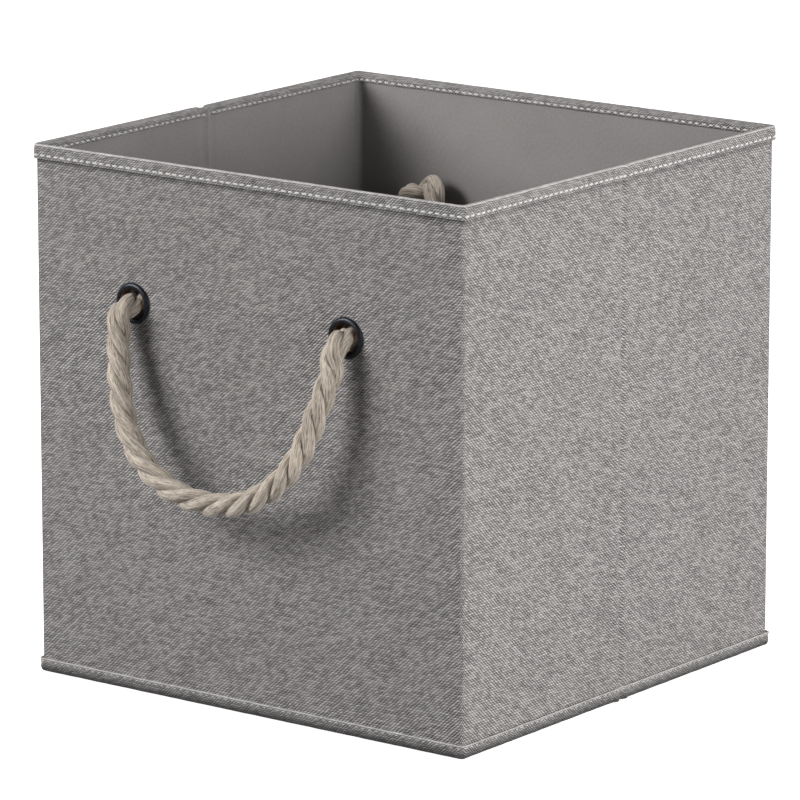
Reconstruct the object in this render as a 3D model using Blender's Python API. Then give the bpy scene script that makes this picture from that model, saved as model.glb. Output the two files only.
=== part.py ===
"""Foldable fabric storage bin with two rope handles.

Metres, +Z up. The origin is on the floor under the middle of the bin, +X is the
right side and -Y is the front. Four stiffened walls stand on a soft bottom. The
two side walls have a centre fold, so the walls fold inwards as a flat linkage.
"""

import math

import bmesh
import bpy
from mathutils import Vector

# ---- driving dimensions -------------------------------------------------------

WIDTH = 0.276              # over the bindings, left to right
DEPTH = 0.274              # over the bindings, front to back
HEIGHT = 0.280

GAP = 0.0003               # between pieces that touch
COVER_THICK = 0.0009       # outer twill
BOARD_THICK = 0.0018       # stiffener board sewn between twill and lining
BOARD_INSET = 0.0050       # front and back boards end short of the soft corners
LINING_THICK = 0.0007

BINDING_THICK = 0.0013     # folded twill strip on the outside and over the edges
BINDING_INSIDE = 0.0009    # its thinner leg on the inside of the rim
RIM_BINDING_DROP = 0.0077  # how far it reaches down outside
RIM_INSIDE_DROP = 0.0050   # and inside
BASE_BINDING_RISE = 0.0070

BOTTOM_THICK = 0.0009      # bottom cloth
PAD_THICK = 0.0045         # soft base pad lying on it
PAD_CLEARANCE = 0.0010     # pad edge to lining

ROPE_DIAMETER = 0.012
HANDLE_SPACING = 0.1366    # eyelet to eyelet
HANDLE_SHIFT = -0.0040     # the pair sits a little left of the middle
EYELET_HEIGHT = 0.2045     # above the floor
EYELET_PLAY = 0.0034       # the clear hole is this much wider than the rope
EYELET_WALL = 0.0007       # barrel wall
FLANGE_WIDTH = 0.0030      # from the clear hole to the flange's rim
FLANGE_HEIGHT = 0.0018     # how far the flange stands off the cloth
FLANGE_ROUNDING = 0.0006
WASHER_THICK = 0.0012

ROPE_CLEARANCE = 0.0005    # between the rope and the bottom of the hole it lies in
AXIS_OFF = 0.0130          # loop's swing axis, out from the cloth
AXIS_DROP = 0.0030         # and below the eyelet's middle
KNOT_HALF_WIDTH = 0.0170
KNOT_HALF_DEPTH = 0.0125
KNOT_HALF_HEIGHT = 0.0210
KNOT_RISE = 0.0060         # the knot's middle above the eyelet's middle

ROUND_STEPS = 32
ROPE_STEP = 0.013          # distance between the rope tube's points

# Half of a loop, from its swing axis to its lowest point, as chosen by hand:
# inwards from the eyelet, out from the cloth, down from the eyelet's middle.
HALF_LOOP = [
    (-0.0007, AXIS_OFF, AXIS_DROP),
    (-0.0006, 0.0134, 0.0090),
    (0.0000, 0.0146, 0.0160),
    (0.0019, 0.0168, 0.0245),
    (0.0044, 0.0196, 0.0345),
    (0.0074, 0.0218, 0.0445),
    (0.0113, 0.0239, 0.0545),
    (0.0173, 0.0260, 0.0645),
    (0.0263, 0.0276, 0.0745),
    (0.0393, 0.0286, 0.0830),
    (0.0533, 0.0290, 0.0876),
    (HANDLE_SPACING / 2, 0.0290, 0.0890),
]

# ---- what follows from them ---------------------------------------------------

PROUD = BINDING_THICK + GAP                       # binding face to cover face
BOARD_START = PROUD + COVER_THICK + GAP
LINING_START = BOARD_START + BOARD_THICK + GAP
STACK_END = LINING_START + LINING_THICK           # inner face of the lining
WALL_THICK = STACK_END + GAP + BINDING_INSIDE     # over both binding legs
STACK_TOP = HEIGHT - BINDING_THICK - GAP
STACK_BOTTOM = BINDING_THICK + GAP
HINGE_X = WIDTH / 2 - WALL_THICK                  # corner hinges
HINGE_Y = DEPTH / 2 - WALL_THICK
ROPE_RADIUS = ROPE_DIAMETER / 2
CLEAR_RADIUS = ROPE_RADIUS + EYELET_PLAY / 2
BARREL_RADIUS = CLEAR_RADIUS + EYELET_WALL
HOLE_RADIUS = BARREL_RADIUS + GAP                 # in cloth and board
FLANGE_RADIUS = CLEAR_RADIUS + FLANGE_WIDTH
WASHER_FACE = STACK_END - PROUD + GAP + WASHER_THICK   # inwards from the cover face
ROPE_HEIGHT = EYELET_HEIGHT - EYELET_PLAY / 2 + ROPE_CLEARANCE


# ---- scene and materials ------------------------------------------------------

for old in list(bpy.data.objects):
    bpy.data.objects.remove(old, do_unlink=True)


def make_material(name, colour, roughness, metallic=0.0):
    """A plain Principled material."""
    material = bpy.data.materials.new(name)
    material.use_nodes = True
    shader = material.node_tree.nodes["Principled BSDF"]
    shader.inputs["Base Color"].default_value = (*colour, 1.0)
    shader.inputs["Roughness"].default_value = roughness
    shader.inputs["Metallic"].default_value = metallic
    return material


TWILL = make_material("grey_twill", (0.20, 0.19, 0.18), 0.9)
LINING = make_material("grey_lining", (0.16, 0.155, 0.15), 0.95)
BOARD = make_material("grey_board", (0.35, 0.32, 0.27), 0.9)
PADDING = make_material("quilted_pad", (0.15, 0.145, 0.14), 0.95)
BLACK_STEEL = make_material("blackened_steel", (0.02, 0.025, 0.035), 0.45, 0.8)
ROPE = make_material("natural_rope", (0.52, 0.44, 0.34), 0.9)


# ---- bodies: one empty on each swing or fold axis ------------------------------

PLACES = {}


def make_pivot(name, place, parent=None):
    """An empty that carries a body; its origin is on the body's axis."""
    empty = bpy.data.objects.new(name, None)
    empty.empty_display_size = 0.02
    bpy.context.scene.collection.objects.link(empty)
    PLACES[name] = Vector(place)
    empty.location = Vector(place)
    if parent:
        empty.parent = parent
        empty.location = Vector(place) - PLACES[parent.name]
    return empty


ROOT = make_pivot("bin", (0, 0, 0))
RIGHT_REAR = make_pivot("right_rear_corner", (HINGE_X, HINGE_Y, 0), ROOT)
RIGHT_FRONT = make_pivot("right_crease", (WIDTH / 2, 0, 0), RIGHT_REAR)
FRONT = make_pivot("right_front_corner", (HINGE_X, -HINGE_Y, 0), RIGHT_FRONT)
LEFT_FRONT = make_pivot("left_front_corner", (-HINGE_X, -HINGE_Y, 0), FRONT)
LEFT_REAR = make_pivot("left_crease", (-WIDTH / 2, 0, 0), LEFT_FRONT)


def add_piece(name, vertices, faces, material, body):
    """A closed mesh from world points, carried by a body, with its faces outwards."""
    origin = PLACES[body.name]
    mesh = bpy.data.meshes.new(name)
    mesh.from_pydata([Vector(v) - origin for v in vertices], [], faces)
    shape = bmesh.new()
    shape.from_mesh(mesh)
    bmesh.ops.recalc_face_normals(shape, faces=shape.faces)
    shape.to_mesh(mesh)
    shape.free()
    mesh.materials.append(material)
    piece = bpy.data.objects.new(name, mesh)
    bpy.context.scene.collection.objects.link(piece)
    piece.parent = body
    return piece


# ---- walls --------------------------------------------------------------------

def wall_point(side, along, depth, height):
    """World point on a wall: along it, in from its outer face, above the floor."""
    if side == "front":
        return (along, -DEPTH / 2 + depth, height)
    if side == "back":
        return (along, DEPTH / 2 - depth, height)
    if side == "right":
        return (WIDTH / 2 - depth, along, height)
    return (-WIDTH / 2 + depth, along, height)


def add_strip(name, side, profile, start, end, material, body):
    """A (depth, height) outline carried along a wall from start to end."""
    count = len(profile)
    vertices = [wall_point(side, start, *point) for point in profile]
    vertices += [wall_point(side, end, *point) for point in profile]
    faces = [tuple(range(count)), tuple(range(2 * count - 1, count - 1, -1))]
    for index in range(count):
        after = (index + 1) % count
        faces.append((index, after, after + count, index + count))
    return add_piece(name, vertices, faces, material, body)


def slab(depth_start, depth_end, low, high):
    """The outline of a flat layer."""
    return [(depth_start, low), (depth_end, low), (depth_end, high), (depth_start, high)]


RIM_OUTLINE = [
    (0, HEIGHT - RIM_BINDING_DROP),
    (BINDING_THICK, HEIGHT - RIM_BINDING_DROP),
    (BINDING_THICK, HEIGHT - BINDING_THICK),
    (WALL_THICK - BINDING_INSIDE, HEIGHT - BINDING_THICK),
    (WALL_THICK - BINDING_INSIDE, HEIGHT - RIM_INSIDE_DROP),
    (WALL_THICK, HEIGHT - RIM_INSIDE_DROP),
    (WALL_THICK, HEIGHT),
    (0, HEIGHT),
]
BASE_OUTLINE = [
    (0, 0),
    (STACK_END, 0),
    (STACK_END, BINDING_THICK),
    (BINDING_THICK, BINDING_THICK),
    (BINDING_THICK, BASE_BINDING_RISE),
    (0, BASE_BINDING_RISE),
]


def add_wall(name, side, stack, board_ends, bindings, body):
    """One stiff wall panel: cover, board, lining and its two bindings."""
    cover = slab(PROUD, PROUD + COVER_THICK, STACK_BOTTOM, STACK_TOP)
    board = slab(BOARD_START, BOARD_START + BOARD_THICK, STACK_BOTTOM, STACK_TOP)
    lining = slab(LINING_START, STACK_END, STACK_BOTTOM, STACK_TOP)
    layers = [
        add_strip(name + "_cover", side, cover, *stack, TWILL, body),
        add_strip(name + "_board", side, board, *board_ends, BOARD, body),
        add_strip(name + "_lining", side, lining, *stack, LINING, body),
    ]
    add_strip(name + "_rim_binding", side, RIM_OUTLINE, *bindings, TWILL, body)
    add_strip(name + "_base_binding", side, BASE_OUTLINE, *bindings, TWILL, body)
    return layers


FULL_STACK = WIDTH / 2 - PROUD
FULL_BOARD = FULL_STACK - BOARD_INSET
FULL_WALL = [(-half, half) for half in (FULL_STACK, FULL_BOARD, WIDTH / 2)]
front_layers = add_wall("front", "front", *FULL_WALL, FRONT)
back_layers = add_wall("back", "back", *FULL_WALL, ROOT)

# A side wall is two halves that meet at the crease and butt against the full-width
# front and back walls.
SIDE_REACH = HINGE_Y - GAP
REAR_HALF = (GAP / 2, SIDE_REACH)
FRONT_HALF = (-SIDE_REACH, -GAP / 2)
for side, rear, front in (("right", RIGHT_REAR, RIGHT_FRONT), ("left", LEFT_REAR, LEFT_FRONT)):
    add_wall(side + "_rear", side, REAR_HALF, REAR_HALF, REAR_HALF, rear)
    add_wall(side + "_front", side, FRONT_HALF, FRONT_HALF, FRONT_HALF, front)


# ---- bottom -------------------------------------------------------------------

def add_plate(name, half_width, half_depth, low, high, material, body):
    """A flat rectangular plate centred on the origin."""
    corners = [(-half_width, -half_depth), (half_width, -half_depth),
               (half_width, half_depth), (-half_width, half_depth)]
    vertices = [(x, y, z) for z in (low, high) for x, y in corners]
    faces = [(3, 2, 1, 0), (4, 5, 6, 7)]
    faces += [(i, (i + 1) % 4, (i + 1) % 4 + 4, i + 4) for i in range(4)]
    return add_piece(name, vertices, faces, material, body)


INNER_X = WIDTH / 2 - STACK_END
INNER_Y = DEPTH / 2 - STACK_END
add_plate("bottom_cloth", INNER_X - GAP, INNER_Y - GAP, 0, BOTTOM_THICK, TWILL, ROOT)
add_plate("base_pad", INNER_X - PAD_CLEARANCE, INNER_Y - PAD_CLEARANCE,
          BOTTOM_THICK + GAP, BOTTOM_THICK + GAP + PAD_THICK, PADDING, ROOT)


# ---- eyelets, ropes and knots -------------------------------------------------

def add_turned(name, centre, outward, outline, material, body):
    """A closed (radius, out) outline turned about a line along Y."""
    count = len(outline)
    vertices = []
    for step in range(ROUND_STEPS):
        angle = 2 * math.pi * step / ROUND_STEPS
        for radius, out in outline:
            vertices.append((centre[0] + radius * math.cos(angle),
                             centre[1] + outward * out,
                             centre[2] + radius * math.sin(angle)))
    faces = []
    for step in range(ROUND_STEPS):
        here = step * count
        there = (step + 1) % ROUND_STEPS * count
        for index in range(count):
            after = (index + 1) % count
            faces.append((here + index, here + after, there + after, there + index))
    piece = add_piece(name, vertices, faces, material, body)
    piece.data.shade_smooth()
    piece.data.set_sharp_from_angle(angle=math.radians(40))
    return piece


def add_lofted(name, rings, material, body):
    """A solid of elliptical rings along Y, each (centre, half width, half height)."""
    count = ROUND_STEPS // 2
    vertices = []
    for centre, half_width, half_height in rings:
        for step in range(count):
            angle = 2 * math.pi * step / count
            vertices.append((centre[0] + half_width * math.cos(angle), centre[1],
                             centre[2] + half_height * math.sin(angle)))
    faces = [tuple(range(count)), tuple(range(len(vertices) - 1, len(vertices) - count - 1, -1))]
    for ring in range(len(rings) - 1):
        base = ring * count
        for step in range(count):
            after = (step + 1) % count
            faces.append((base + step, base + after, base + count + after, base + count + step))
    return add_piece(name, vertices, faces, material, body)


def smooth_route(points, step):
    """Points about a step apart on the smooth curve through the given points."""
    route = []
    padded = [2 * points[0] - points[1], *points, 2 * points[-1] - points[-2]]
    for index in range(1, len(padded) - 2):
        before, start, end, after = padded[index - 1:index + 3]
        pieces = 8
        for part in range(pieces):
            t = part / pieces
            route.append(0.5 * (2 * start + (end - before) * t
                                + (2 * before - 5 * start + 4 * end - after) * t * t
                                + (3 * start - before - 3 * end + after) * t ** 3))
    route.append(points[-1])
    lengths = [0.0]
    for start, end in zip(route, route[1:]):
        lengths.append(lengths[-1] + (end - start).length)
    count = max(2, round(lengths[-1] / step))
    spaced = [route[0]]
    index = 0
    for number in range(1, count):
        target = lengths[-1] * number / count
        while lengths[index + 1] < target:
            index += 1
        share = (target - lengths[index]) / (lengths[index + 1] - lengths[index])
        spaced.append(route[index].lerp(route[index + 1], share))
    spaced.append(route[-1])
    return spaced


EYELET_OUTLINE = [
    (BARREL_RADIUS, GAP),
    (FLANGE_RADIUS, GAP),
    (FLANGE_RADIUS, FLANGE_HEIGHT - FLANGE_ROUNDING),
    (FLANGE_RADIUS - FLANGE_ROUNDING, FLANGE_HEIGHT),
    (CLEAR_RADIUS + FLANGE_ROUNDING, FLANGE_HEIGHT),
    (CLEAR_RADIUS, FLANGE_HEIGHT - FLANGE_ROUNDING),
    (CLEAR_RADIUS, -WASHER_FACE),
    (BARREL_RADIUS, -WASHER_FACE),
]
WASHER_OUTLINE = [
    (BARREL_RADIUS + GAP, GAP),
    (FLANGE_RADIUS, GAP),
    (FLANGE_RADIUS, GAP + WASHER_THICK),
    (BARREL_RADIUS + GAP, GAP + WASHER_THICK),
]
KNOT_STATIONS = [-0.75, -0.5, -0.2, 0.1, 0.4, 0.65, 0.85, 0.97]   # shares of its half depth


def add_knot(name, hole_x, cover_y, outward, body):
    """The rope's end: straight through the eyelet, then the knot against the washer."""
    knot_middle = WASHER_FACE + GAP + KNOT_HALF_DEPTH
    stub_end = cover_y + outward * (AXIS_OFF - ROPE_RADIUS - GAP)
    stub_start = cover_y - outward * (WASHER_FACE + GAP)
    rings = [((hole_x, stub_end, ROPE_HEIGHT), ROPE_RADIUS, ROPE_RADIUS),
             ((hole_x, stub_start, ROPE_HEIGHT), ROPE_RADIUS, ROPE_RADIUS)]
    for station in KNOT_STATIONS:
        swell = math.sqrt(1 - station ** 2)
        y = cover_y - outward * (knot_middle + station * KNOT_HALF_DEPTH)
        z = ROPE_HEIGHT + (EYELET_HEIGHT + KNOT_RISE - ROPE_HEIGHT) * swell
        half_width = max(ROPE_RADIUS, KNOT_HALF_WIDTH * swell)
        half_height = max(ROPE_RADIUS, KNOT_HALF_HEIGHT * swell)
        rings.append(((hole_x, y, z), half_width, half_height))
    return add_lofted(name, rings, ROPE, body)


def add_handle(side, outward, layers, body):
    """Eyelets, washers, knots and the swinging rope loop of one wall."""
    cover_y = outward * (DEPTH / 2 - PROUD)
    inner_y = outward * (DEPTH / 2 - STACK_END)
    holes = {"left": HANDLE_SHIFT - HANDLE_SPACING / 2, "right": HANDLE_SHIFT + HANDLE_SPACING / 2}
    for place, hole_x in holes.items():
        bpy.ops.mesh.primitive_cylinder_add(
            vertices=ROUND_STEPS, radius=HOLE_RADIUS, depth=4 * WALL_THICK,
            location=(hole_x, cover_y, EYELET_HEIGHT), rotation=(math.pi / 2, 0, 0))
        cutter = bpy.context.object
        cutter.name = "cut_" + side + "_" + place
        cutter.hide_render = True
        cutter.display_type = "WIRE"
        for layer in layers:
            cut = layer.modifiers.new("eyelet_" + place, "BOOLEAN")
            cut.object = cutter
        name = side + "_" + place
        add_turned(name + "_eyelet", (hole_x, cover_y, EYELET_HEIGHT), outward,
                   EYELET_OUTLINE, BLACK_STEEL, body)
        add_turned(name + "_washer", (hole_x, inner_y, EYELET_HEIGHT), -outward,
                   WASHER_OUTLINE, BLACK_STEEL, body)
        add_knot(name + "_knot", hole_x, cover_y, outward, body)

    pivot = make_pivot(side + "_handle_axis",
                       (HANDLE_SHIFT, cover_y + outward * AXIS_OFF, EYELET_HEIGHT - AXIS_DROP),
                       body)
    half = [Vector((holes["left"] + inward, cover_y + outward * off, EYELET_HEIGHT - drop))
            for inward, off, drop in HALF_LOOP]
    other = [Vector((2 * HANDLE_SHIFT - point.x, point.y, point.z)) for point in half[-2::-1]]
    route = smooth_route(half + other, ROPE_STEP)
    curve = bpy.data.curves.new(side + "_handle_rope", "CURVE")
    curve.dimensions = "3D"
    curve.bevel_depth = ROPE_RADIUS
    curve.bevel_resolution = 3
    curve.use_fill_caps = True
    spline = curve.splines.new("POLY")
    spline.points.add(len(route) - 1)
    for point, place in zip(spline.points, route):
        point.co = (*(place - PLACES[pivot.name]), 1.0)
    curve.materials.append(ROPE)
    loop = bpy.data.objects.new(side + "_handle_rope", curve)
    bpy.context.scene.collection.objects.link(loop)
    loop.parent = pivot


add_handle("front", -1, front_layers, FRONT)
add_handle("back", 1, back_layers, ROOT)
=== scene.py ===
"""Foldable fabric storage bin with two rope handles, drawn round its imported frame."""

import math

import bmesh
import bpy
import numpy as np
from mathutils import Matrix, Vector


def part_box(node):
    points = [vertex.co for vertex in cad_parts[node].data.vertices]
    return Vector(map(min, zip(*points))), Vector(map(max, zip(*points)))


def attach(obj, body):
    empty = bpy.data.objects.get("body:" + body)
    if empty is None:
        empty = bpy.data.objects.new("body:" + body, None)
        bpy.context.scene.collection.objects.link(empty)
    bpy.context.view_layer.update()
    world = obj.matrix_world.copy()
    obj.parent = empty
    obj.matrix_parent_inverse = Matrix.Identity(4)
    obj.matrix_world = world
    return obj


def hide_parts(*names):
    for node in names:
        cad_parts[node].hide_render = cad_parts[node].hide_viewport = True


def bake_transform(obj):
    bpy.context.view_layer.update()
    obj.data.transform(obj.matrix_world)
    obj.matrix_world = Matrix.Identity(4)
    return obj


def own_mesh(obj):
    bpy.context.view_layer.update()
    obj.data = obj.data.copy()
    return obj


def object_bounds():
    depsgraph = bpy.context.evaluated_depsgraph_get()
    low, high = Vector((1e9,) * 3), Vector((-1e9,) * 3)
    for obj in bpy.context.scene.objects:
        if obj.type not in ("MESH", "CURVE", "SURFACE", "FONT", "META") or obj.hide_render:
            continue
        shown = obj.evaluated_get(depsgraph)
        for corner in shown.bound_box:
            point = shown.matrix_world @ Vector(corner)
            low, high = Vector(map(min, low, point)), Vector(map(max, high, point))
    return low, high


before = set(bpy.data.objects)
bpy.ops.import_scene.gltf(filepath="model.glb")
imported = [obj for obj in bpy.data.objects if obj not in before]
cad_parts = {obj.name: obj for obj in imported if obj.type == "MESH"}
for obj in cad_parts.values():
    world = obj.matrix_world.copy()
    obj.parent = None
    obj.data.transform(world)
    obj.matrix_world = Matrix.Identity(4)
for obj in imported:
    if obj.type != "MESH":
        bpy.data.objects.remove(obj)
cad_low, cad_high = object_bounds()

# ---- camera -------------------------------------------------------------------
# A long lens a good three metres away, a little above the rim, turned towards the
# near corner so that the front and the right side both show.

AIM = Vector((-0.0050, 0.0002, 0.1383))
TURN, RISE, AWAY = math.radians(37.16), math.radians(13.03), 3.124

camera = bpy.data.objects.new("camera", bpy.data.cameras.new("camera"))
bpy.context.scene.collection.objects.link(camera)
camera.data.lens = 269.3
camera.data.sensor_width = 36.0
camera.data.clip_end = 40.0
toward = Vector((math.sin(TURN) * math.cos(RISE), -math.cos(TURN) * math.cos(RISE),
                 math.sin(RISE)))
camera.location = AIM + AWAY * toward
camera.rotation_euler = toward.to_track_quat("Z", "Y").to_euler()
bpy.context.scene.camera = camera

# ---- rope handles -------------------------------------------------------------
# Each handle is a length of soft three-strand laid rope, natural fibre, 12.6 mm thick.
# It hangs in a U in front of its wall; both ends pass in through the eyelets and are
# held there by knots.

WALL_FACE = abs(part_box("front_cover")[0].y)          # outer face of the front cloth
EYELET_LOW, EYELET_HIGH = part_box("front_left_eyelet")
EYELET_LEVEL = (EYELET_LOW.z + EYELET_HIGH.z) / 2
LEFT_HOLE = (EYELET_LOW.x + EYELET_HIGH.x) / 2
RIGHT_HOLE = sum(corner.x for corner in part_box("front_right_eyelet")) / 2
HANDLE_MIDDLE = (LEFT_HOLE + RIGHT_HOLE) / 2
HANDLE_SPACING = RIGHT_HOLE - LEFT_HOLE

ROPE_STEP = 0.0009                                   # between two rings of a strand
LAY_LENGTH = 0.043                                   # one full turn of a strand
STRAND_RADIUS = 0.0032
STRAND_OFFSET = 0.0031

# Half of a loop: inwards from the eyelet, out from the cloth, down from the eyelet.
HALF_LOOP = [
    (0.0000, -0.0080, 0.0010),
    (0.0000, -0.0020, 0.0010),
    (-0.0001, 0.0037, 0.0011),
    (-0.0003, 0.0081, 0.0021),
    (-0.0004, 0.0105, 0.0049),
    (-0.0003, 0.0113, 0.0093),
    (0.0001, 0.0122, 0.0160),
    (0.0019, 0.0143, 0.0246),
    (0.0044, 0.0170, 0.0347),
    (0.0074, 0.0193, 0.0448),
    (0.0113, 0.0213, 0.0549),
    (0.0173, 0.0232, 0.0650),
    (0.0263, 0.0247, 0.0751),
    (0.0393, 0.0257, 0.0836),
    (0.0533, 0.0261, 0.0882),
    (HANDLE_SPACING / 2, 0.0261, 0.0896),
]


def smooth_path(points, spacing):
    """Evenly spaced points on the Catmull-Rom curve through the given ones: in each span
    the cubic whose slope at a point is half the step from its neighbour before to the
    one after. The spacing comes from inverting the running length."""
    p = np.array(points, float)
    p = np.vstack([2 * p[0] - p[1], p, 2 * p[-1] - p[-2]])
    t = np.linspace(0, 1, 40, endpoint=False)[None, :, None]
    a, b, c, d = (p[k:len(p) - 3 + k, None] for k in range(4))
    fine = 0.5 * (2 * b + (c - a) * t + (2 * a - 5 * b + 4 * c - d) * t ** 2
                  + (3 * b - a - 3 * c + d) * t ** 3)
    fine = np.vstack([fine.reshape(-1, 3), p[-2]])
    run = np.concatenate([[0], np.cumsum(np.linalg.norm(np.diff(fine, axis=0), axis=1))])
    even = np.linspace(0, run[-1], max(2, round(run[-1] / spacing)) + 1)
    return np.stack([np.interp(even, run, fine[:, k]) for k in range(3)], -1)


def carried_frames(path):
    """Tangent, normal and side at each point of a path. Every normal is the one before
    it with its part along the new tangent taken out, so the frame never spins."""
    tangent = np.gradient(path, axis=0)
    tangent /= np.linalg.norm(tangent, axis=1)[:, None]
    normal = np.zeros_like(path)
    ahead = np.cross(tangent[0], (0.3, 0.5, 0.8))
    for number, along in enumerate(tangent):
        ahead = ahead - along * (ahead @ along)
        ahead = ahead / np.linalg.norm(ahead)
        normal[number] = ahead
    return tangent, normal, np.cross(tangent, normal)


def running_length(path):
    """Length from the path's start to each of its points."""
    return np.concatenate([[0], np.cumsum(np.linalg.norm(np.diff(path, axis=0), axis=1))])


def ring_weave(rows, columns, along):
    """UV of a tube: once round it, in shares, by the length along it, in metres."""
    u = np.broadcast_to(np.linspace(0, 1, columns + 1), (rows, columns + 1))
    v = np.broadcast_to(np.asarray(along)[:, None], (rows, columns + 1))
    return np.stack([u, v], -1)


def strands(path, swell, start_angle, seed):
    """Three strands laid round a path, as grids of points. Strand k's middle goes round
    the path at angle -2 pi s / lay + 2 pi k / 3, at the strand offset; its section is an
    ellipse, a tenth wider along the turn. swell, from 0 to 1, scales the whole section,
    and points at one angle of it keep their side, as yarns do in a laid rope."""
    tangent, normal, side = carried_frames(path)
    s = running_length(path)
    phi = np.linspace(0, 2 * np.pi, 20, endpoint=False)[None, :, None]
    rng = np.random.default_rng(seed)
    patches = []
    for k in range(3):
        wander = sum(rng.normal(0, 0.00007) * np.sin(s * f + rng.uniform(0, 6.3))
                     for f in (160, 260, 420, 700))
        theta = (start_angle - 2 * np.pi * s / LAY_LENGTH + 2 * np.pi * k / 3)[:, None, None]
        outward = np.cos(theta) * normal[:, None] + np.sin(theta) * side[:, None]
        round_it = -np.sin(theta) * normal[:, None] + np.cos(theta) * side[:, None]
        psi = phi - theta
        size = swell[:, None, None]
        radial = STRAND_OFFSET + (STRAND_RADIUS + wander[:, None, None]) * np.cos(psi)
        across = 1.10 * STRAND_RADIUS * np.sin(psi)
        points = path[:, None] + size * (radial * outward + across * round_it)
        patches.append((points, ring_weave(len(path), 20, s + 3.0 * k + seed), 0))
    return patches


def add_piece(name, patches, materials, closed=True):
    """One mesh from grids of points. A patch is (points, UV, material number): four
    neighbours in the grid make a face. A UV grid with one row or column more than its
    points closes the patch on itself. Points that meet are merged, a closed mesh's
    faces are turned outwards, and an open one's border stays crisp when thickened."""
    places, faces, weaves, slots, count = [], [], [], [], 0
    for points, weave, slot in patches:
        rows, columns = weave.shape[0] - 1, weave.shape[1] - 1
        i, j = np.meshgrid(np.arange(rows), np.arange(columns), indexing="ij")
        i, j = np.stack([i, i, i + 1, i + 1], -1), np.stack([j, j + 1, j + 1, j], -1)
        index = (i % points.shape[0]) * points.shape[1] + j % points.shape[1]
        faces.append(index.reshape(-1, 4) + count)
        weaves.append(weave[i, j].reshape(-1, 2))
        slots.append(np.full(rows * columns, slot))
        places.append(points.reshape(-1, 3))
        count += points.shape[0] * points.shape[1]
    mesh = bpy.data.meshes.new(name)
    mesh.from_pydata(np.concatenate(places).tolist(), [], np.concatenate(faces).tolist())
    mesh.uv_layers.new(name="weave").data.foreach_set("uv", np.concatenate(weaves).ravel())
    mesh.polygons.foreach_set("material_index", np.concatenate(slots).astype(np.int32))
    for material in materials:
        mesh.materials.append(material)
    shape = bmesh.new()
    shape.from_mesh(mesh)
    bmesh.ops.remove_doubles(shape, verts=shape.verts, dist=0.000002)
    if closed:
        bmesh.ops.recalc_face_normals(shape, faces=shape.faces)
    for edge in shape.edges:
        edge.smooth = not edge.is_boundary
    shape.to_mesh(mesh)
    shape.free()
    mesh.shade_smooth()
    piece = bpy.data.objects.new(name, mesh)
    bpy.context.scene.collection.objects.link(piece)
    return piece


class Nodes:
    """Puts nodes into a material or a group and links what is given to them."""

    def __init__(self, tree):
        self.tree = tree

    def add(self, kind, settings=None, **inputs):
        """A node with its settings, and its inputs set or linked by name."""
        node = self.tree.nodes.new("ShaderNode" + kind)
        for key, value in (settings or {}).items():
            setattr(node, key, value)
        for key, value in inputs.items():
            self.feed(node.inputs[key.replace("_", " ")], value)
        return node

    def feed(self, socket, value):
        """Links a socket to another's value, or sets it."""
        if isinstance(value, bpy.types.NodeSocket):
            self.tree.links.new(value, socket)
        else:
            socket.default_value = value

    def weave(self):
        """The piece's own UV, in metres of cloth or of rope."""
        return self.add("UVMap", {"uv_map": "weave"}).outputs[0]

    def place(self):
        """The place on the object, in metres."""
        return self.add("TexCoord").outputs["Object"]

    def parts(self, vector):
        """The three values of a vector."""
        return self.add("SeparateXYZ", Vector=vector).outputs

    def calc(self, operation, *values):
        """The result of a Math node."""
        node = self.tree.nodes.new("ShaderNodeMath")
        node.operation = operation
        for socket, value in zip(node.inputs, values):
            self.feed(socket, value)
        return node.outputs[0]

    def times(self, first, second):
        """A product."""
        return self.calc("MULTIPLY", first, second)

    def plus(self, first, second):
        """A sum."""
        return self.calc("ADD", first, second)

    def about(self, value, middle, amount):
        """(value - middle) times amount."""
        return self.times(self.calc("SUBTRACT", value, middle), amount)

    def ridges(self, value, rate):
        """Rounded ridges side by side: |sin(rate value)|."""
        return self.calc("ABSOLUTE", self.calc("SINE", self.times(value, rate)))

    def vector(self, x, y, z):
        """A vector of three values."""
        return self.add("CombineXYZ", X=x, Y=y, Z=z).outputs[0]

    def noise(self, place, scale, detail=2.0, rough=0.5):
        """Cloudy noise from 0 to 1 at a place."""
        return self.add("TexNoise", Vector=place, Scale=scale, Detail=detail,
                        Roughness=rough).outputs[0]

    def ramp(self, value, low, high, new_low=0.0, new_high=1.0):
        """value from low..high mapped to new_low..new_high, and held there outside."""
        return self.add("MapRange", Value=value, From_Min=low, From_Max=high,
                        To_Min=new_low, To_Max=new_high).outputs[0]

    def mix(self, share, first, second):
        """A colour between two, by share."""
        node = self.tree.nodes.new("ShaderNodeMix")
        node.data_type = "RGBA"
        for socket, value in ((node.inputs[0], share), (node.inputs[6], first),
                              (node.inputs[7], second)):
            self.feed(socket, (*value, 1) if isinstance(value, tuple) else value)
        return node.outputs[2]

    def shaded(self, colour, shade):
        """A colour times a value."""
        node = self.tree.nodes.new("ShaderNodeVectorMath")
        node.operation = "SCALE"
        self.feed(node.inputs[0], colour)
        self.feed(node.inputs["Scale"], shade)
        return node.outputs[0]


def new_material(name, **finish):
    """A material, its Principled shader with a finish, and a helper for its nodes."""
    material = bpy.data.materials.new(name)
    material.use_nodes = True
    shader = material.node_tree.nodes["Principled BSDF"]
    for key, value in finish.items():
        shader.inputs[key.replace("_", " ")].default_value = value
    return material, shader, Nodes(material.node_tree)


def raise_surface(nodes, shader, height, distance):
    """Feeds a height, times a distance in metres, to the shader's normal."""
    bump = nodes.add("Bump", Height=height, Distance=distance, Strength=1.0)
    nodes.feed(shader.inputs["Normal"], bump.outputs["Normal"])


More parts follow.
